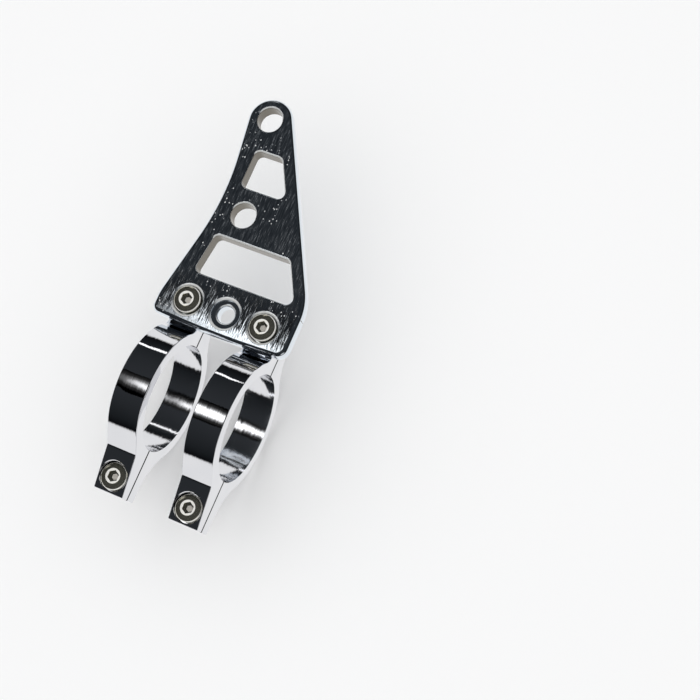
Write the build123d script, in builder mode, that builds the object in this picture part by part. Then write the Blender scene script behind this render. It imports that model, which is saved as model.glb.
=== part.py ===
from build123d import *
import math
import os

# Headlight mounting bracket: a billet side plate on two split fork clamps, held by button-head screws.
# X runs along the fork tube, Y points towards the plate's tip and Z out of the plate's front face.
# The origin is on the fork tube's axis, midway between the clamps, on the plane where they split.

# Fork clamps
fork_diameter = 43.0
bore_clearance = 0.05
strap_thickness = 4.5
strap_rim = 0.7
strap_edge_radius = 0.4
clamp_spacing = 32.0
lug_thickness = 6.5
lug_rim = 0.85
lug_corner_radius = 0.6
split_gap = 1.0
seat_blend_radius = 4.0
rear_blend_radius = 20.0
ramp_angle = 49.0
ramp_blend_radius = 2.0
slope_angle = 18.0
slope_end_thickness = 4.8

# Button-head screws and the holes that take them
screw_diameter = 6.0
head_diameter = 10.5
head_height = 3.3
head_edge_height = 0.9
socket_across_flats = 4.0
socket_depth = 2.0
socket_mouth = 0.5
socket_land = 0.1
screw_end_chamfer = 0.7
screw_end_recess = 0.5
screw_clearance = 0.3
thread_clearance = 0.05
head_clearance = 0.3
plate_counterbore_depth = 1.4
clamp_counterbore_depth = 3.0
rim_chamfer = 0.25
counterbore_edge_radius = 1.0
hole_edge_radius = 0.9

# Side plate: lengths run from its row of screw holes and from the middle of that row
plate_thickness = 6.0
plate_edge_radius = 2.0
tip_across = -16.4
tip_up = 77.5
tip_hole_diameter = 10.0
tip_wall = 4.0
slant_angle = 28.4
waist_across = -20.3
waist_up = 41.9
waist_radius = 105.0
foot_left_margin = 12.65
foot_right_margin = 12.4
foot_drop = 8.3
foot_bow = 1.0
foot_clearance = 0.1
foot_roll_radius = 30.0
foot_roll_length = 6.5
foot_left_radius = 3.0
foot_right_radius = 4.5
left_shoulder_up = -0.4
shoulder_radius = 24.0
round_hole_across = -9.9
round_hole_up = 38.0
round_hole_diameter = 10.0
slant_rim = 5.3
large_window_left = -18.0
large_window_lean = 1.1
large_window_bottom = 11.3
large_window_top = 27.6
small_window_left = -16.2
small_window_bottom = 48.7
small_window_top = 64.2
window_radius = 2.4
opening_edge_radius = 0.8

# Sizes that follow: straps and lugs leave a rim round the screw heads, and the plate's foot seats on the
# flat of the lugs, clear of the blend into the rings
counterbore_radius = head_diameter / 2 + head_clearance
strap_width = 2 * (counterbore_radius + strap_rim)
lug_end = counterbore_radius + lug_rim
bore_radius = fork_diameter / 2 + bore_clearance
ring_radius = bore_radius + strap_thickness
half_gap = split_gap / 2
lug_flat_start = math.sqrt((ring_radius + seat_blend_radius) ** 2 - (lug_thickness + seat_blend_radius) ** 2)
screw_reach = lug_flat_start + foot_clearance + foot_drop + foot_bow - plate_edge_radius
lug_reach = screw_reach + lug_end
plate_back = lug_thickness
plate_front = plate_back + plate_thickness
plate_seat = plate_front - plate_counterbore_depth
slope = math.radians(slope_angle)
ramp = math.radians(ramp_angle)
clamp_seat = slope_end_thickness + lug_end * math.tan(slope) - clamp_counterbore_depth
ramp_top = Vector(-ring_radius * math.sin(ramp), ring_radius * math.cos(ramp))
slope_end = Vector(-lug_reach, slope_end_thickness)
ramp_offset = lug_reach * math.sin(ramp) + slope_end_thickness * math.cos(ramp) - ring_radius
slope_length = ramp_offset / math.sin(ramp - slope)
ramp_foot = slope_end + Vector(math.cos(slope), math.sin(slope)) * slope_length
plate_screw_length = plate_seat + lug_thickness - screw_end_recess
clamp_screw_length = clamp_seat + lug_thickness - screw_end_recess
clearance_radius = screw_diameter / 2 + screw_clearance
thread_radius = screw_diameter / 2 + thread_clearance
tip_radius = tip_hole_diameter / 2 + tip_wall
foot_left = clamp_spacing / 2 + foot_left_margin
foot_right = clamp_spacing / 2 + foot_right_margin
foot_low = screw_reach - foot_drop - foot_bow
roll_start = foot_low + foot_roll_length
roll_drop = foot_roll_radius - math.sqrt(foot_roll_radius ** 2 - foot_roll_length ** 2)
socket_corner = socket_across_flats / 2 / math.cos(math.radians(30))
head_radius = head_diameter / 2
flat_radius = socket_corner + socket_mouth + socket_land
dome_rise = head_height - head_edge_height
dome_width = head_radius - flat_radius
dome_radius = (dome_width ** 2 + dome_rise ** 2) / (2 * dome_width)
clamp_stations = {"left": -clamp_spacing / 2, "right": clamp_spacing / 2}


def front_half(station):
    """The front half of a clamp at X = station: a flat upper lug for the plate and a sloped lower lug."""
    with BuildPart() as half:
        with BuildSketch(Plane.YZ.offset(station)) as profile:
            Circle(ring_radius)
            with Locations((lug_reach / 2, 0)):
                Rectangle(lug_reach, 2 * lug_thickness)
            with BuildLine():
                Polyline((0, 0), (-lug_reach, 0), slope_end, ramp_foot, ramp_top, close=True)
            make_face()
            fillet(profile.vertices().sort_by_distance(ramp_foot)[0], ramp_blend_radius)
            fillet(profile.vertices().sort_by_distance(slope_end)[0], lug_corner_radius)
            seat_join = profile.vertices().filter_by(lambda v: 0 < v.X < screw_reach and v.Y > 0)
            fillet(seat_join, seat_blend_radius)
            fillet(profile.vertices().sort_by_distance((lug_reach, lug_thickness))[0], lug_corner_radius)
            Circle(bore_radius, mode=Mode.SUBTRACT)
            with Locations((0, half_gap - ring_radius)):
                Rectangle(2 * lug_reach, 2 * ring_radius, mode=Mode.SUBTRACT)
        extrude(amount=strap_width / 2, both=True)
        fillet(outer_rims(half), strap_edge_radius)
        with Locations((station, screw_reach, lug_thickness)):
            Hole(clearance_radius)
        with Locations((station, -screw_reach, ring_radius)):
            CounterBoreHole(clearance_radius, counterbore_radius, ring_radius - clamp_seat)
        slope_face = half.faces().sort_by_distance((station, -screw_reach, lug_thickness))
        sloped = slope_face.filter_by(lambda f: math.isclose(f.normal_at().Z, math.cos(slope)))[0]
        chamfer(sloped.inner_wires().edges(), rim_chamfer)
    return half.part


def rear_half(station):
    """The rear half of a clamp at X = station: long blends run into two flat lugs with threaded holes."""
    with BuildPart() as half:
        with BuildSketch(Plane.YZ.offset(station)) as profile:
            Circle(ring_radius)
            Rectangle(2 * lug_reach, 2 * lug_thickness)
            joins = profile.vertices().filter_by(lambda v: abs(v.X) < screw_reach)
            corners = profile.vertices().filter_by(lambda v: abs(v.X) > screw_reach)
            fillet(joins, rear_blend_radius)
            fillet(corners, lug_corner_radius)
            Circle(bore_radius, mode=Mode.SUBTRACT)
            with Locations((0, ring_radius - half_gap)):
                Rectangle(2 * lug_reach, 2 * ring_radius, mode=Mode.SUBTRACT)
        extrude(amount=strap_width / 2, both=True)
        fillet(outer_rims(half), strap_edge_radius)
        with Locations((station, screw_reach, -half_gap), (station, -screw_reach, -half_gap)):
            Hole(thread_radius)
    return half.part


def outer_rims(half):
    """The edges round both sides of a clamp half, without those of its bore and its split faces."""
    rims = half.faces().filter_by(Axis.X).edges()
    rims = rims.filter_by(lambda e: not math.isclose(abs(e.center().Z), half_gap))
    return rims.filter_by(lambda e: not is_round(e, bore_radius))


def is_round(shape, radius):
    """True for an edge that is an arc of this radius and for a face that is a cylinder of it."""
    return shape.geom_type in (GeomType.CIRCLE, GeomType.CYLINDER) and math.isclose(shape.radius, radius)


def button_screw(across, up, seat, length):
    """A button-head screw along Z, with the underside of its head at Z = seat."""
    shank_radius = screw_diameter / 2
    side_view = Plane((across, up, seat), x_dir=(1, 0, 0), z_dir=(0, -1, 0))
    top = Plane((across, up, seat + head_height))
    with BuildPart() as screw:
        with BuildSketch(side_view):
            with BuildLine():
                Polyline(
                    (flat_radius, head_height),
                    (0, head_height),
                    (0, -length),
                    (shank_radius - screw_end_chamfer, -length),
                    (shank_radius, screw_end_chamfer - length),
                    (shank_radius, 0),
                    (head_radius, 0),
                    (head_radius, head_edge_height),
                )
                RadiusArc((head_radius, head_edge_height), (flat_radius, head_height), -dome_radius)
            make_face()
        revolve(axis=Axis((across, up, seat), (0, 0, 1)))
        with BuildSketch(top):
            RegularPolygon(socket_across_flats / 2, 6, major_radius=False)
        extrude(amount=-socket_depth, mode=Mode.SUBTRACT)
        with BuildSketch(top):
            Circle(socket_corner + socket_mouth)
        extrude(amount=-socket_mouth, taper=45, mode=Mode.SUBTRACT)
    return screw.part


os.makedirs("parts", exist_ok=True)

# Side plate: the slanted edge and the waisted edge both run off the round tip
tip = Vector(tip_across, tip_up)
slant_normal = Vector(1, 0).rotate(Axis.Z, slant_angle)
slant_along = Vector(0, -1).rotate(Axis.Z, slant_angle)
slant_top = tip + slant_normal * tip_radius
shoulder = slant_top + slant_along * ((foot_right - slant_top.X) / slant_along.X)
waist = Vector(waist_across, waist_up)
to_waist = waist - tip
tangent_angle = math.degrees(math.acos(tip_radius / to_waist.length))
waist_top = tip + (to_waist.normalized() * tip_radius).rotate(Axis.Z, -tangent_angle)
left_shoulder = Vector(-foot_left, left_shoulder_up)
foot_left_corner = Vector(-foot_left, -foot_drop)
foot_right_corner = Vector(foot_right, -foot_drop)


def slant_x(up, rim):
    """X of a line that runs inside the slanted edge, rim away from it, at the height up."""
    start = slant_top - slant_normal * rim
    return start.X + slant_along.X * (up - start.Y) / slant_along.Y


with BuildPart() as side_plate:
    with BuildSketch(Plane.YZ):
        with BuildLine():
            Polyline(
                (roll_start, plate_front),
                (screw_reach + tip_up + tip_radius, plate_front),
                (screw_reach + tip_up + tip_radius, plate_back),
                (foot_low, plate_back),
                (foot_low, plate_front - roll_drop),
            )
            RadiusArc((foot_low, plate_front - roll_drop), (roll_start, plate_front), foot_roll_radius)
        make_face()
    extrude(amount=foot_left + foot_right, both=True)
    with BuildSketch(Plane((0, screw_reach, 0))) as face:
        with BuildLine():
            ThreePointArc(foot_left_corner, (0, -foot_drop - foot_bow), foot_right_corner)
            Line(foot_right_corner, shoulder)
            Line(shoulder, slant_top)
            ThreePointArc(slant_top, tip + Vector(0, tip_radius), waist_top)
            Line(waist_top, waist)
            Line(waist, left_shoulder)
            Line(left_shoulder, foot_left_corner)
        make_face()
        fillet(face.vertices().sort_by_distance(waist)[0], waist_radius)
        fillet(face.vertices().sort_by_distance(shoulder)[0], shoulder_radius)
        fillet(face.vertices().sort_by_distance(left_shoulder)[0], shoulder_radius)
        fillet(face.vertices().sort_by_distance(foot_right_corner)[0], foot_right_radius)
        fillet(face.vertices().sort_by_distance(foot_left_corner)[0], foot_left_radius)
    extrude(amount=plate_front + plate_thickness, mode=Mode.INTERSECT)
    caps = side_plate.faces().filter_by(lambda f: abs(f.normal_at().Z) > 0.5)
    rims = caps.edges().filter_by(lambda e: not math.isclose(e.center().Y, roll_start))
    fillet(rims, plate_edge_radius)
    with BuildSketch(Plane((0, screw_reach, plate_back))) as openings:
        with Locations((tip_across, tip_up)):
            Circle(tip_hole_diameter / 2)
        with Locations((round_hole_across, round_hole_up)):
            Circle(round_hole_diameter / 2)
        with BuildLine():
            Polyline(
                (large_window_left - large_window_lean, large_window_bottom),
                (slant_x(large_window_bottom, slant_rim), large_window_bottom),
                (slant_x(large_window_top, slant_rim), large_window_top),
                (large_window_left + large_window_lean, large_window_top),
                close=True,
            )
        make_face()
        with BuildLine():
            Polyline(
                (small_window_left, small_window_bottom),
                (slant_x(small_window_bottom, slant_rim), small_window_bottom),
                (slant_x(small_window_top, slant_rim), small_window_top),
                (small_window_left, small_window_top),
                close=True,
            )
        make_face()
        corners = openings.edges().filter_by(GeomType.LINE).vertices()
        fillet(corners, window_radius)
    extrude(amount=plate_thickness, mode=Mode.SUBTRACT)
    front_face = side_plate.faces().filter_by(Axis.Z).sort_by(Axis.Z)[-1]
    fillet(front_face.inner_wires().edges(), opening_edge_radius)
    with Locations((0, screw_reach, plate_front)):
        with GridLocations(clamp_spacing / 2, 0, 3, 1):
            CounterBoreHole(clearance_radius, counterbore_radius, plate_counterbore_depth)
    walls = side_plate.faces().filter_by(lambda f: is_round(f, counterbore_radius))
    mouths = walls.edges().filter_by(lambda e: e.geom_type != GeomType.LINE and e.center().Z > plate_seat)
    fillet(mouths, counterbore_edge_radius)
    seats = side_plate.edges().filter_by(lambda e: math.isclose(e.center().Z, plate_seat))
    fillet(seats.filter_by(lambda e: is_round(e, clearance_radius)), hole_edge_radius)
side_plate.part.label = "side_plate"
export_step(side_plate.part, "parts/side_plate.step")

# Split clamps and their screws, one set at each end of the plate's foot
for hand, station in clamp_stations.items():
    pieces = {
        f"{hand}_clamp_front_half": front_half(station),
        f"{hand}_clamp_rear_half": rear_half(station),
        f"{hand}_plate_screw": button_screw(station, screw_reach, plate_seat, plate_screw_length),
        f"{hand}_clamp_screw": button_screw(station, -screw_reach, clamp_seat, clamp_screw_length),
    }
    for name, piece in pieces.items():
        piece.label = name
        export_step(piece, f"parts/{name}.step")
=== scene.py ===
import math

import bpy
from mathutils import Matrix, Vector


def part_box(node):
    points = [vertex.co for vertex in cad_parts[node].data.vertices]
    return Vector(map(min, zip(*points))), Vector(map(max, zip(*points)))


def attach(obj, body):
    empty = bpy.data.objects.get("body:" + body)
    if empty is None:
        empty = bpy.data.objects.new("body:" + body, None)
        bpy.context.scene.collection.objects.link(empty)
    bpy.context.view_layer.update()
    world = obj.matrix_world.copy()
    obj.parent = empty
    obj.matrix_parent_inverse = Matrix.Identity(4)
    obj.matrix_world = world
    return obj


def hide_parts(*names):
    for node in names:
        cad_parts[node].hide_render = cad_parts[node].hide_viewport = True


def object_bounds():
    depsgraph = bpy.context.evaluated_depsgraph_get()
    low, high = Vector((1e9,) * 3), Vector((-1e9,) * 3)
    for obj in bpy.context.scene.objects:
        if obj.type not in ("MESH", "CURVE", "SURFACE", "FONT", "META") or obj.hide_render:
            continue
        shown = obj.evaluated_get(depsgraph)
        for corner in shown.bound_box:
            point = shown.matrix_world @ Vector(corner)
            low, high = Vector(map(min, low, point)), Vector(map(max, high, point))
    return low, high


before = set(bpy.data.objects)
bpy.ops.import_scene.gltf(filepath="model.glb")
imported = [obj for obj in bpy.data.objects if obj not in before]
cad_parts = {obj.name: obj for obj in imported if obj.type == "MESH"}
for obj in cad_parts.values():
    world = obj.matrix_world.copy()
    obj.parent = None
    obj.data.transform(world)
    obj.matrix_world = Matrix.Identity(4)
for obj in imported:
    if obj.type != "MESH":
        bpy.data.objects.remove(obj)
cad_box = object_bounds()

# Split clamps: each is two half rings with a lug at both ends, cut from aluminium, polished and chrome
# plated. The outside is mirror bright with a faint ripple from the buffing wheel; the bores keep fine
# tool marks that run round them. The halves close on the fork tube from both sides.
clamp_chrome_colour = (0.80, 0.80, 0.82, 1.0)
clamp_shade_colour = (0.73, 0.74, 0.77, 1.0)
outside_roughness = 0.03
bore_roughness = 0.09
ripple_size = 0.009
ripple_depth = 0.00010
ripple_detail = 0.5
clamp_lane_width = 0.00035
clamp_lane_length = 0.006
clamp_lane_detail = 2.0
outside_lane_tilt = 0.05
bore_lane_tilt = 0.11
bore_radius = 0.02155
bore_skin = 0.0004
whole = (0.0, 1.0)
falling = (1.0, 0.0)


def new_finish(name):
    """A new metal material, its node tree and its shader."""
    material = bpy.data.materials.new(name)
    material.use_nodes = True
    tree = material.node_tree
    shader = tree.nodes["Principled BSDF"]
    shader.inputs["Metallic"].default_value = 1.0
    return material, tree, shader


def feed(tree, value, socket):
    """Links a node's output to the socket, or sets the socket to a plain number, vector or colour."""
    if isinstance(value, bpy.types.NodeSocket):
        tree.links.new(value, socket)
    else:
        socket.default_value = value


def pattern(tree, kind, size):
    """A texture node of this kind on Object coordinates, with cells of this size along X, Y and Z."""
    mapping = tree.nodes.new("ShaderNodeMapping")
    mapping.inputs["Scale"].default_value = [1 / length for length in size]
    feed(tree, tree.nodes.new("ShaderNodeTexCoord").outputs["Object"], mapping.inputs["Vector"])
    texture = tree.nodes.new(kind)
    texture.inputs["Scale"].default_value = 1.0
    feed(tree, mapping.outputs["Vector"], texture.inputs["Vector"])
    return texture


def remap(tree, value, span, result):
    """A Map Range node that carries value from one span to another."""
    step = tree.nodes.new("ShaderNodeMapRange")
    for name, limit in zip(("From Min", "From Max", "To Min", "To Max"), (*span, *result)):
        step.inputs[name].default_value = limit
    feed(tree, value, step.inputs["Value"])
    return step.outputs["Result"]


def calculate(tree, operation, *values):
    """A Math node on these values."""
    step = tree.nodes.new("ShaderNodeMath")
    step.operation = operation
    for value, socket in zip(values, step.inputs):
        feed(tree, value, socket)
    return step.outputs["Value"]


def product(tree, first, *others):
    """The product of these values."""
    for other in others:
        first = calculate(tree, "MULTIPLY", first, other)
    return first


def vector_math(tree, operation, first, second=None):
    """A Vector Math node on one or two values: its number where it measures, and else its vector."""
    step = tree.nodes.new("ShaderNodeVectorMath")
    step.operation = operation
    feed(tree, first, step.inputs[0])
    if second is not None:
        feed(tree, second, step.inputs["Scale" if operation == "SCALE" else 1])
    measures = operation in ("LENGTH", "DISTANCE", "DOT_PRODUCT")
    return step.outputs["Value" if measures else "Vector"]


def bump(tree, height, distance):
    """A Bump node that turns height into relief of this depth."""
    relief = tree.nodes.new("ShaderNodeBump")
    relief.inputs["Distance"].default_value = distance
    feed(tree, height, relief.inputs["Height"])
    return relief.outputs["Normal"]


def lean(tree, normal, amount):
    """The normal leaned by amount, square to the X axis, so that reflections shift along Y and Z."""
    across = vector_math(tree, "CROSS_PRODUCT", (1, 0, 0), normal)
    leaned = vector_math(tree, "ADD", normal, vector_math(tree, "SCALE", across, amount))
    return vector_math(tree, "NORMALIZE", leaned)


def tint(tree, factor, base, other):
    """A colour that runs from base to other with factor."""
    mix = tree.nodes.new("ShaderNodeMix")
    mix.data_type = "RGBA"
    feed(tree, factor, mix.inputs["Factor"])
    feed(tree, base, mix.inputs["A"])
    feed(tree, other, mix.inputs["B"])
    return mix.outputs["Result"]


clamp_chrome, tree, shader = new_finish("clamp_chrome_polished")
ripple = pattern(tree, "ShaderNodeTexNoise", (ripple_size, ripple_size, ripple_size))
ripple.inputs["Detail"].default_value = ripple_detail
lanes = pattern(tree, "ShaderNodeTexNoise", (clamp_lane_width, clamp_lane_length, clamp_lane_length))
lanes.inputs["Detail"].default_value = clamp_lane_detail
spot = tree.nodes.new("ShaderNodeTexCoord").outputs["Object"]
from_axis = vector_math(tree, "LENGTH", vector_math(tree, "MULTIPLY", spot, (0, 1, 1)))
in_bore = remap(tree, from_axis, (bore_radius + bore_skin / 2, bore_radius + bore_skin), falling)
lane_tilt = remap(tree, in_bore, whole, (outside_lane_tilt, bore_lane_tilt))
lane_lean = product(tree, remap(tree, lanes.outputs["Fac"], whole, (-0.5, 0.5)), lane_tilt)
relief = bump(tree, ripple.outputs["Fac"], ripple_depth)
chrome = tint(tree, ripple.outputs["Fac"], clamp_shade_colour, clamp_chrome_colour)
feed(tree, lean(tree, relief, lane_lean), shader.inputs["Normal"])
feed(tree, chrome, shader.inputs["Base Color"])
feed(tree, remap(tree, in_bore, whole, (outside_roughness, bore_roughness)), shader.inputs["Roughness"])
for hand in ("left", "right"):
    for half in ("front", "rear"):
        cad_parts[f"{hand}_clamp_{half}_half"].material_slots[0].material = clamp_chrome

# Side plate: a flat plate milled from aluminium billet, ground along its length, chrome plated and screwed
# to the upper lugs of the front halves. Its flats keep grinding lanes and pale pits, and the buffing wheel
# has leaned the flat of its foot. The rims of its holes, and the rims of its openings where they face the
# foot, are pale painted highlights, and its openings have rougher milled walls darkened with painted shade.
plate_chrome_colour = (0.76, 0.81, 0.86, 1.0)
plate_shade_colour = (0.47, 0.52, 0.57, 1.0)
# Pale colour of the pits, which is their own, and of the painted highlights on the rims of holes and
# openings
pit_and_highlight_colour = (0.90, 0.90, 0.88, 1.0)
# Dark tan painted shade on the walls of the openings
painted_wall_shade_colour = (0.18, 0.165, 0.14, 1.0)
edge_roughness = 0.04
flat_roughness = 0.13
wall_dullness = 0.20
pale_metal = 0.2
plate_haze = 0.10

# The plate's faces told apart by how far their normals turn towards Z or Y
flat_span = (0.90, 0.98)
wall_span = (0.3, 0.6)
# Where the painted highlights lie on the rims of the openings, and how strong they are
rim_low_span = (0.35, 0.45)
rim_high_span = (0.95, 0.98)
rim_front_span = (0.0, 0.2)
rim_down_span = (-0.30, -0.12)
rim_share = 0.8

# Grinding lanes and pits, with the spans of their noise that show
plate_lane_width = 0.00035
plate_lane_length = 0.0040
plate_lane_detail = 3.0
plate_lane_tilt = 0.38
streak_span = (0.36, 0.56)
haze_span = (0.56, 0.70)
pit_spacing = 0.0013
pit_length = 0.0017
pit_radius = 0.00028
pit_core_share = 0.6
pit_share = 0.9
cloud_size = 0.012
cloud_span = (0.53, 0.60)

# The foot's lean begins and is full above its row of holes, and fades out towards its lower edge
foot_tilt = 0.065
foot_tilt_start = 0.0470
foot_tilt_full = 0.0365
foot_tilt_fade = 0.0335
foot_tilt_end = 0.0265

# Row of three holes in the foot: how pale the painted highlights on the rims of hole and counterbore are at
# these radii
hole_row_up = 0.035556
hole_step = 0.016
counterbore_radius = 0.00555
counterbore_skin = 0.0001
ring_scale = 0.0100
ring_highlight_stops = (
    (0.00345, 0.0),
    (0.00360, 0.8),
    (0.00385, 0.8),
    (0.00410, 0.0),
    (0.00550, 0.0),
    (0.00570, 1.0),
    (0.00640, 1.0),
    (0.00670, 0.0),
)
ring_arc_span = (0.30, 0.80)
ring_side_share = 0.10
ring_share = 0.85

# The windows and the round hole lie inside these limits, and the tip hole lies round its own centre
opening_left = -0.0197
opening_low = 0.043
slant_turn = math.radians(28.4)
opening_slant_reach = 0.0455
tip_hole_centre = (-0.0164, 0.113056, 0.0095)
tip_hole_reach = 0.0072


def components(tree, vector):
    """The X, Y and Z outputs of a vector."""
    step = tree.nodes.new("ShaderNodeSeparateXYZ")
    feed(tree, vector, step.inputs["Vector"])
    return step.outputs


def grey(level):
    """A grey of this level."""
    return (level, level, level, 1.0)


def ramp(tree, value, stops):
    """A Color Ramp on value, with these colours at these positions."""
    step = tree.nodes.new("ShaderNodeValToRGB")
    elements = step.color_ramp.elements
    while len(elements) < len(stops):
        elements.new(0.5)
    for (position, colour), element in zip(stops, elements):
        element.position = position
        element.color = colour
    feed(tree, value, step.inputs["Fac"])
    return step.outputs["Color"]


plate_chrome, tree, shader = new_finish("plate_chrome_ground")
normal = tree.nodes.new("ShaderNodeNewGeometry").outputs["Normal"]
facing = components(tree, normal)
flatness = calculate(tree, "ABSOLUTE", facing["Z"])
spot = tree.nodes.new("ShaderNodeTexCoord").outputs["Object"]
along = components(tree, spot)

# Distance from the nearest of the three holes in the foot
from_middle = calculate(tree, "ABSOLUTE", along["X"])
from_end = calculate(tree, "ABSOLUTE", calculate(tree, "SUBTRACT", from_middle, hole_step))
above_row = calculate(tree, "SUBTRACT", along["Y"], hole_row_up)
to_hole = tree.nodes.new("ShaderNodeCombineXYZ")
feed(tree, calculate(tree, "MINIMUM", from_middle, from_end), to_hole.inputs["X"])
feed(tree, above_row, to_hole.inputs["Y"])
from_hole = vector_math(tree, "LENGTH", to_hole.outputs["Vector"])
off_holes = remap(tree, from_hole, (counterbore_radius - counterbore_skin, counterbore_radius), whole)
on_flat = product(tree, off_holes, remap(tree, flatness, flat_span, whole))

# Lanes and pits on the flats, and the lean of the foot
lanes = pattern(tree, "ShaderNodeTexNoise", (plate_lane_width, plate_lane_length, plate_lane_width))
lanes.inputs["Detail"].default_value = plate_lane_detail
lane = lanes.outputs["Fac"]
clouds = pattern(tree, "ShaderNodeTexNoise", (cloud_size, cloud_size, cloud_size))
pits = pattern(tree, "ShaderNodeTexVoronoi", (pit_spacing, pit_length, pit_spacing))
pit_reach = pit_radius / pit_spacing
in_pit = remap(tree, pits.outputs["Distance"], (pit_core_share * pit_reach, pit_reach), falling)
pitted = product(tree, in_pit, on_flat, remap(tree, clouds.outputs["Fac"], cloud_span, (0.0, pit_share)))
lane_lean = remap(tree, lane, whole, (-plate_lane_tilt / 2, plate_lane_tilt / 2))
foot_rise = remap(tree, along["Y"], (foot_tilt_start, foot_tilt_full), (0.0, foot_tilt))
foot_fade = remap(tree, along["Y"], (foot_tilt_end, foot_tilt_fade), whole)
both_leans = calculate(tree, "ADD", lane_lean, product(tree, foot_rise, foot_fade))
feed(tree, lean(tree, normal, product(tree, both_leans, on_flat)), shader.inputs["Normal"])

# Painted highlights: bright arcs above and below each hole in the foot
shares = [(reach / ring_scale, grey(level)) for reach, level in ring_highlight_stops]
ring_highlight_levels = ramp(tree, remap(tree, from_hole, (0.0, ring_scale), whole), shares)
steepness = calculate(tree, "ABSOLUTE", calculate(tree, "DIVIDE", above_row, from_hole))
ring_highlight = product(tree, ring_highlight_levels, remap(tree, steepness, ring_arc_span, (ring_side_share, ring_share)))

# Walls of the openings, rougher and darkened with painted shade, and painted highlights on their rims where
# they face the foot
right_of_edge = calculate(tree, "GREATER_THAN", along["X"], opening_left)
above_foot = calculate(tree, "GREATER_THAN", along["Y"], opening_low)
slant = vector_math(tree, "DOT_PRODUCT", spot, (math.cos(slant_turn), math.sin(slant_turn), 0))
left_of_slant = calculate(tree, "LESS_THAN", slant, opening_slant_reach)
in_windows = product(tree, right_of_edge, above_foot, left_of_slant)
from_tip_hole = vector_math(tree, "DISTANCE", spot, tip_hole_centre)
in_tip_hole = calculate(tree, "LESS_THAN", from_tip_hole, tip_hole_reach)
near_opening = calculate(tree, "MAXIMUM", in_windows, in_tip_hole)
in_opening = product(tree, remap(tree, flatness, wall_span, falling), near_opening)
rim_low = remap(tree, flatness, rim_low_span, whole)
rim_high = remap(tree, flatness, rim_high_span, falling)
rim_front = remap(tree, facing["Z"], rim_front_span, whole)
rim_down = remap(tree, facing["Y"], rim_down_span, (rim_share, 0.0))
rim_highlight = product(tree, rim_low, rim_high, rim_front, rim_down, near_opening)

# Colour, metal and roughness from these shares
# The pale share: the pits' own colour, and the painted highlights of the rings and rims
pale = calculate(tree, "MAXIMUM", pitted, calculate(tree, "MAXIMUM", ring_highlight, rim_highlight))
streaks = product(tree, on_flat, remap(tree, lane, streak_span, falling))
chrome = tint(tree, streaks, plate_chrome_colour, plate_shade_colour)
# Painted shade on the walls of the openings
with_wall_shade = tint(tree, in_opening, chrome, painted_wall_shade_colour)
haze = product(tree, on_flat, remap(tree, lane, haze_span, (0.0, plate_haze)))
clear = remap(tree, haze, whole, falling)
dullness = remap(tree, in_opening, whole, (0.0, wall_dullness))
roughness = calculate(tree, "ADD", remap(tree, on_flat, whole, (edge_roughness, flat_roughness)), dullness)
feed(tree, tint(tree, pale, with_wall_shade, pit_and_highlight_colour), shader.inputs["Base Color"])
feed(tree, product(tree, clear, remap(tree, pale, whole, (1.0, pale_metal))), shader.inputs["Metallic"])
feed(tree, roughness, shader.inputs["Roughness"])
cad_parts["side_plate"].material_slots[0].material = plate_chrome

# Button-head screws: bright steel, pressed with a domed head and a hex socket, then thread rolled up to
# the head. Two hold the plate on the upper lugs and two close the lower lugs, and all of them turn into
# threads in the rear halves. The socket's lip and the edge of the head are satin, and they and the
# socket's bottom are coloured pale as painted highlights.
steel_colour = (0.70, 0.67, 0.54, 1.0)
steel_shade_colour = (0.56, 0.53, 0.41, 1.0)
steel_metal = 0.95
steel_grain = (0.0008, 0.0008, 0.0003)
steel_roughness = (0.06, 0.16)
# Near white: a painted highlight on the socket's lip and the edge of the head
satin_highlight_colour = (0.96, 0.95, 0.91, 1.0)
satin_highlight_shade_colour = (0.84, 0.82, 0.77, 1.0)
satin_metal = 0.1
satin_grain = (0.0004, 0.0004, 0.0004)
satin_roughness = (0.35, 0.55)
satin_highlight_edge = 0.0049
grain_span = (0.3, 0.7)
# Pale: a painted highlight on the bottom of the socket
socket_floor_highlight_colour = (0.80, 0.76, 0.70, 1.0)
socket_floor_metal = 0.2
socket_floor_roughness = 0.4
head_radius = 0.00525
head_height = 0.0033
head_edge_break = 0.0001
head_sides = 96
crown_radius = 0.0112
crown_edge_round = 0.00095
arc_steps = 8
lip_radius = 0.00291
lip_depth = 0.00030
lip_curve = ((0.25, 0.08), (0.5, 0.3), (0.75, 0.62), (1.0, 1.0))
socket_sides = 6
socket_corner = 0.00231
socket_depth = 0.0020
socket_point = 0.0005
punch_flat_share = 0.55
shank_radius = 0.0030
shank_sides = 48
thread_pitch = 0.0010
thread_depth = 0.00055
thread_flank = 0.375 * thread_pitch
thread_crest = 0.125 * thread_pitch
thread_sides = 36
spare_turns = 3
end_chamfer = 0.0007
smooth_angle = math.radians(40)
sliver = 0.00001
merge_reach = sliver / 10


def pick_edges(piece, wanted):
    """Edit mode with only those edges of the piece selected whose two ends are wanted."""
    bpy.ops.object.mode_set(mode="EDIT")
    bpy.ops.mesh.select_mode(type="EDGE")
    bpy.ops.mesh.select_all(action="DESELECT")
    bpy.ops.object.mode_set(mode="OBJECT")
    for edge in piece.data.edges:
        edge.select = all(wanted(piece.data.vertices[end].co) for end in edge.vertices)
    bpy.ops.object.mode_set(mode="EDIT")


def pick_faces(piece, wanted):
    """Edit mode with only those faces of the piece selected whose centre is wanted."""
    bpy.ops.object.mode_set(mode="EDIT")
    bpy.ops.mesh.select_mode(type="FACE")
    bpy.ops.mesh.select_all(action="DESELECT")
    bpy.ops.object.mode_set(mode="OBJECT")
    for face in piece.data.polygons:
        face.select = wanted(face.center)
    bpy.ops.object.mode_set(mode="EDIT")


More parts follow.
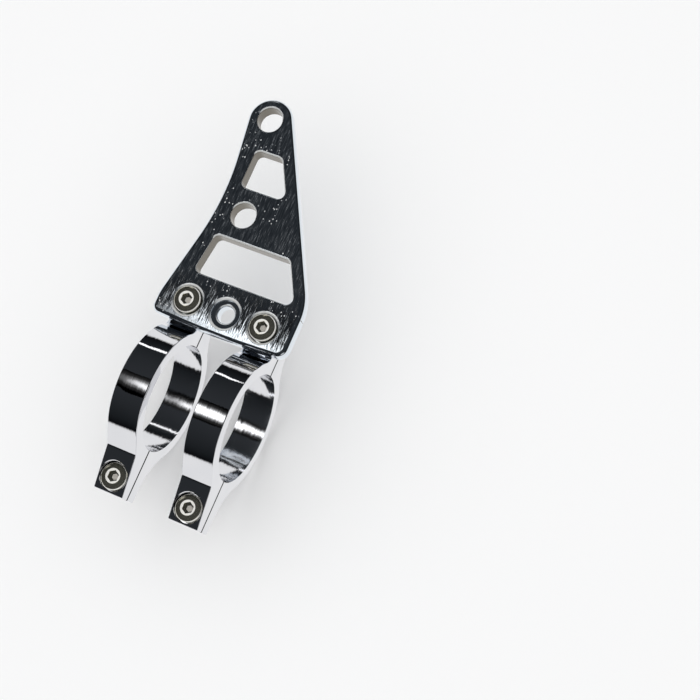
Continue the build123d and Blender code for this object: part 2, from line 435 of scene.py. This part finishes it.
def new_cylinder(sides, radius, low, high):
    """An upright cylinder on the Z axis from low to high, with its place in its mesh."""
    middle = (0, 0, (low + high) / 2)
    bpy.ops.object.select_all(action="DESELECT")
    bpy.ops.mesh.primitive_cylinder_add(vertices=sides, radius=radius, depth=high - low, location=middle)
    bpy.ops.object.transform_apply(location=True)
    return bpy.context.object


def new_point():
    """A new piece in edit mode that is one point at the origin, ready to be drawn out into an outline."""
    bpy.ops.object.select_all(action="DESELECT")
    bpy.ops.mesh.primitive_plane_add(size=1)
    bpy.ops.object.mode_set(mode="EDIT")
    bpy.ops.mesh.select_mode(type="VERT")
    bpy.ops.mesh.select_all(action="SELECT")
    bpy.ops.mesh.merge(type="CENTER")
    return bpy.context.object


def combine(piece, operation, tool):
    """Cuts or trims the piece with the tool, which is used up."""
    bpy.context.view_layer.objects.active = piece
    step = piece.modifiers.new(operation, "BOOLEAN")
    step.operation = operation
    step.object = tool
    bpy.ops.object.modifier_apply(modifier=step.name)
    bpy.data.objects.remove(tool)


def head_outline():
    """Half of the head's outline as (out, up) points, from under the head to the middle of its top."""
    edge_reach = head_radius - crown_edge_round
    crown_tilt = math.asin(edge_reach / (crown_radius - crown_edge_round))
    lip_tilt = math.asin(lip_radius / crown_radius)
    crown_low = head_height - crown_radius * math.cos(lip_tilt)
    edge_low = crown_low + (crown_radius - crown_edge_round) * math.cos(crown_tilt)
    outline = [(0, 0), (head_radius - head_edge_break, 0), (head_radius, head_edge_break)]
    for step in range(arc_steps):
        tilt = math.pi / 2 + (crown_tilt - math.pi / 2) * step / arc_steps
        out = edge_reach + crown_edge_round * math.sin(tilt)
        outline.append((out, edge_low + crown_edge_round * math.cos(tilt)))
    for step in range(arc_steps + 1):
        tilt = crown_tilt + (lip_tilt - crown_tilt) * step / arc_steps
        outline.append((crown_radius * math.sin(tilt), crown_low + crown_radius * math.cos(tilt)))
    lip_run = lip_radius - socket_corner
    for run, drop in lip_curve:
        outline.append((lip_radius - lip_run * run, head_height - lip_depth * drop))
    outline.append((0, head_height - lip_depth))
    return outline


def domed_head():
    """The head with its underside at Z = 0: its outline is spun round the axis, then the socket is cut."""
    outline = head_outline()
    head = new_point()
    for (out, up), (next_out, next_up) in zip(outline, outline[1:]):
        step = (next_out - out, 0, next_up - up)
        bpy.ops.mesh.extrude_vertices_move(TRANSFORM_OT_translate={"value": step})
    bpy.ops.mesh.select_all(action="SELECT")
    bpy.ops.mesh.spin(steps=head_sides, angle=2 * math.pi, center=(0, 0, 0), axis=(0, 0, 1))
    bpy.ops.mesh.select_all(action="SELECT")
    bpy.ops.mesh.remove_doubles(threshold=merge_reach)
    bpy.ops.mesh.normals_make_consistent(inside=False)
    bpy.ops.object.mode_set(mode="OBJECT")
    socket_low = head_height - socket_depth
    socket = new_cylinder(socket_sides, socket_corner, socket_low, head_height + socket_depth)
    pick_faces(socket, lambda place: place.z < socket_low + sliver)
    bpy.ops.mesh.extrude_region_move(TRANSFORM_OT_translate={"value": (0, 0, -socket_point)})
    bpy.ops.transform.resize(value=(punch_flat_share, punch_flat_share, 1.0))
    bpy.ops.object.mode_set(mode="OBJECT")
    combine(head, "DIFFERENCE", socket)
    return head


def threaded_shank(length):
    """The shank from inside the head down to Z = -length: one turn of thread is wound on, then trimmed."""
    shank = new_point()
    bpy.ops.transform.translate(value=(shank_radius - thread_depth, 0, -length - 2 * thread_pitch))
    for out, up in (
        (thread_depth, thread_flank),
        (0, thread_crest),
        (-thread_depth, thread_flank),
        (0, thread_crest),
    ):
        bpy.ops.mesh.extrude_vertices_move(TRANSFORM_OT_translate={"value": (out, 0, up)})
    bpy.ops.object.mode_set(mode="OBJECT")
    wind = shank.modifiers.new("wind", "SCREW")
    wind.screw_offset = thread_pitch
    wind.iterations = math.ceil(length / thread_pitch) + spare_turns
    wind.steps = wind.render_steps = thread_sides
    bpy.ops.object.modifier_apply(modifier="wind")
    bpy.ops.object.mode_set(mode="EDIT")
    bpy.ops.mesh.select_all(action="SELECT")
    bpy.ops.mesh.remove_doubles(threshold=merge_reach)
    for cut, side in ((-length - thread_pitch / 2, -1), (thread_pitch / 2, 1)):
        bpy.ops.mesh.select_all(action="SELECT")
        bpy.ops.mesh.bisect(plane_co=(0, 0, cut), plane_no=(0, 0, side), clear_outer=True)
        bpy.ops.mesh.edge_face_add()
    bpy.ops.mesh.select_all(action="SELECT")
    bpy.ops.mesh.normals_make_consistent(inside=False)
    bpy.ops.object.mode_set(mode="OBJECT")
    blank = new_cylinder(shank_sides, shank_radius + thread_depth, -length, thread_pitch / 4)
    pick_edges(blank, lambda place: place.z < sliver - length)
    bpy.ops.mesh.bevel(offset=end_chamfer + thread_depth, segments=1, affect="EDGES")
    bpy.ops.object.mode_set(mode="OBJECT")
    combine(shank, "INTERSECT", blank)
    return shank


def is_satin_highlight(place):
    """True on the lip of the socket and on the rounded edge of the head."""
    on_lip = place.xy.length < lip_radius + sliver and place.z > head_height - lip_depth - sliver
    on_edge = place.xy.length > satin_highlight_edge and place.z > head_height / 2
    return on_lip or on_edge


def is_socket_floor(place):
    """True on the small flat that the punch leaves at the bottom of the socket."""
    bottom = head_height - socket_depth - socket_point
    return place.xy.length < socket_corner and abs(place.z - bottom) < sliver


def grained_finish(name, metal, grain, shade_colour, colour, roughness):
    """A metal whose colour and roughness follow a fine grain of this size."""
    material, tree, shader = new_finish(name)
    shader.inputs["Metallic"].default_value = metal
    noise = pattern(tree, "ShaderNodeTexNoise", grain).outputs["Fac"]
    feed(tree, tint(tree, noise, shade_colour, colour), shader.inputs["Base Color"])
    feed(tree, remap(tree, noise, grain_span, roughness), shader.inputs["Roughness"])
    return material


screw_steel = grained_finish(
    "screw_bright_steel", steel_metal, steel_grain, steel_shade_colour, steel_colour, steel_roughness
)
# Satin with a near-white painted highlight, on the socket's lip and the edge of the head
painted_highlight_satin = grained_finish(
    "screw_painted_highlight_satin", satin_metal, satin_grain, satin_highlight_shade_colour, satin_highlight_colour, satin_roughness
)
# A painted highlight on the bottom of the socket
socket_floor_highlight, tree, shader = new_finish("screw_socket_floor_highlight")
shader.inputs["Metallic"].default_value = socket_floor_metal
shader.inputs["Base Color"].default_value = socket_floor_highlight_colour
shader.inputs["Roughness"].default_value = socket_floor_roughness
for seat in ("plate", "clamp"):
    low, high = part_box(f"left_{seat}_screw")
    screw = domed_head()
    shank = threaded_shank(high.z - low.z - head_height)
    bpy.ops.object.select_all(action="DESELECT")
    shank.select_set(True)
    screw.select_set(True)
    bpy.context.view_layer.objects.active = screw
    bpy.ops.object.join()
    screw.name = f"{seat}_screw_model"
    screw.data.materials.clear()
    for material in (screw_steel, painted_highlight_satin, socket_floor_highlight):
        screw.data.materials.append(material)
    for slot, wanted in ((1, is_satin_highlight), (2, is_socket_floor)):
        pick_faces(screw, wanted)
        screw.active_material_index = slot
        bpy.ops.object.material_slot_assign()
        bpy.ops.object.mode_set(mode="OBJECT")
    bpy.ops.object.select_all(action="DESELECT")
    screw.select_set(True)
    bpy.ops.object.shade_smooth_by_angle(angle=smooth_angle)
    for hand in ("left", "right"):
        low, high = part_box(f"{hand}_{seat}_screw")
        bpy.ops.object.select_all(action="DESELECT")
        screw.select_set(True)
        bpy.context.view_layer.objects.active = screw
        bpy.ops.object.duplicate()
        copy = bpy.context.object
        copy.name = f"{hand}_{seat}_button_screw"
        under_head = ((low.x + high.x) / 2, (low.y + high.y) / 2, high.z - head_height)
        bpy.ops.transform.translate(value=under_head)
        bpy.ops.object.transform_apply(location=True)
        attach(copy, "root")
        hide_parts(f"{hand}_{seat}_screw")
    bpy.data.objects.remove(screw)

# Floor: a wide sheet of pale matt paper that the clamps lie on. It takes the object's shadow, but the metal
# mirrors it clean.
floor_radius = 9.0
floor_sides = 96
floor_colour = (0.93, 0.93, 0.93, 1.0)
floor_roughness = 0.9
floor_place = (0, 0, cad_box[0].z)
bpy.ops.object.select_all(action="DESELECT")
bpy.ops.mesh.primitive_circle_add(
    vertices=floor_sides, radius=floor_radius, fill_type="NGON", location=floor_place
)
floor = bpy.context.object
floor.name = "floor"
floor_paper, tree, shader = new_finish("floor_paper")
shader.inputs["Metallic"].default_value = 0.0
shader.inputs["Base Color"].default_value = floor_colour
shader.inputs["Roughness"].default_value = floor_roughness
shader.inputs["Specular IOR Level"].default_value = 0.0
clean = tree.nodes.new("ShaderNodeEmission")
clean.inputs["Color"].default_value = floor_colour
seen = tree.nodes.new("ShaderNodeMixShader")
feed(tree, tree.nodes.new("ShaderNodeLightPath").outputs["Is Glossy Ray"], seen.inputs["Fac"])
feed(tree, shader.outputs["BSDF"], seen.inputs[1])
feed(tree, clean.outputs["Emission"], seen.inputs[2])
feed(tree, seen.outputs["Shader"], tree.nodes["Material Output"].inputs["Surface"])
floor.data.materials.append(floor_paper)

# Room: a pale backdrop behind the object. What the chrome reflects is pale at the horizon, black just
# above it and a dim blue grey overhead, so that it shows dark faces with white edges.
room_backdrop = (0.93, 0.93, 0.93, 1.0)
room_stops = (
    (0.03, (0.90, 0.90, 0.90, 1.0)),
    (0.09, (0.004, 0.004, 0.005, 1.0)),
    (0.30, (0.012, 0.014, 0.016, 1.0)),
    (0.90, (0.029, 0.032, 0.036, 1.0)),
)
world = bpy.data.worlds.new("room")
bpy.context.scene.world = world
world.use_nodes = True
tree = world.node_tree
ray = components(tree, tree.nodes.new("ShaderNodeTexCoord").outputs["Generated"])
height_share = remap(tree, ray["Z"], (-1.0, 1.0), whole)
shades = ramp(tree, height_share, [((height + 1) / 2, colour) for height, colour in room_stops])
in_view = tree.nodes.new("ShaderNodeLightPath").outputs["Is Camera Ray"]
feed(tree, tint(tree, in_view, shades, room_backdrop), tree.nodes["Background"].inputs["Color"])

# Lamps: a wide even fill that lights the floor, a soft box over the clamps, a slim strip beyond the tip
# and a dim box beside the clamps. All but the first are glowing sheets that only the metal reflects.
fill_strength = 3.1
fill_spread = math.radians(140)
box_centre = Vector((-0.208, -0.052, 0.587))
box_size = (0.34, 0.23)
box_glow = 2.0
box_stops = ((0.0, 0.0), (0.30, 0.015), (0.48, 0.12), (0.60, 0.50), (0.75, 1.0))
strip_centre = Vector((-0.235, 0.505, 0.268))
strip_size = (0.15, 0.045)
strip_glow = 1.6
strip_stops = ((0.0, 0.0), (0.25, 1.0))
side_centre = Vector((0.46, -0.40, 0.30))
side_size = (0.60, 0.40)
side_glow = 0.7
side_stops = ((0.0, 0.0), (0.30, 0.25), (0.70, 1.0))
fall_reach = 0.5
bpy.ops.object.light_add(type="SUN")
fill = bpy.context.object
fill.name = "fill"
fill.data.energy = fill_strength
fill.data.angle = fill_spread
fill.visible_glossy = False


def glowing_sheet(name, centre, size, glow, stops):
    """A sheet that faces the origin; stops give the share of its glow from its rim to its middle."""
    turn = (-centre).to_track_quat("-Z", "Y").to_euler()
    bpy.ops.object.select_all(action="DESELECT")
    bpy.ops.mesh.primitive_plane_add(size=1, location=centre, rotation=turn)
    sheet = bpy.context.object
    sheet.name = name
    sheet.scale = (*size, 1)
    material, tree, shader = new_finish(name + "_glow")
    middle = tree.nodes.new("ShaderNodeMapping")
    middle.inputs["Scale"].default_value = [1 / fall_reach] * 3
    feed(tree, tree.nodes.new("ShaderNodeTexCoord").outputs["Object"], middle.inputs["Vector"])
    fall = tree.nodes.new("ShaderNodeTexGradient")
    fall.gradient_type = "SPHERICAL"
    feed(tree, middle.outputs["Vector"], fall.inputs["Vector"])
    shares = ramp(tree, fall.outputs["Fac"], [(position, grey(level)) for position, level in stops])
    emission = tree.nodes.new("ShaderNodeEmission")
    emission.inputs["Strength"].default_value = glow
    feed(tree, shares, emission.inputs["Color"])
    feed(tree, emission.outputs["Emission"], tree.nodes["Material Output"].inputs["Surface"])
    sheet.data.materials.append(material)
    sheet.visible_camera = False
    sheet.visible_diffuse = False
    sheet.visible_shadow = False


glowing_sheet("soft_box", box_centre, box_size, box_glow, box_stops)
glowing_sheet("strip", strip_centre, strip_size, strip_glow, strip_stops)
glowing_sheet("side_box", side_centre, side_size, side_glow, side_stops)

# Camera: stands above the clamps, to the right of them, and looks down on the plate's front with the whole
# bracket in the left half of the frame.
camera_place = (0.1868, -0.0475, 0.4822)
camera_turn = (15.67, 10.90, 23.56)
camera_lens = 70.25
camera_clip = 0.01
bpy.ops.object.camera_add(location=camera_place, rotation=[math.radians(turn) for turn in camera_turn])
camera = bpy.context.object
camera.data.lens = camera_lens
camera.data.clip_start = camera_clip
bpy.context.scene.camera = camera
bpy.context.scene.view_settings.view_transform = "Standard"
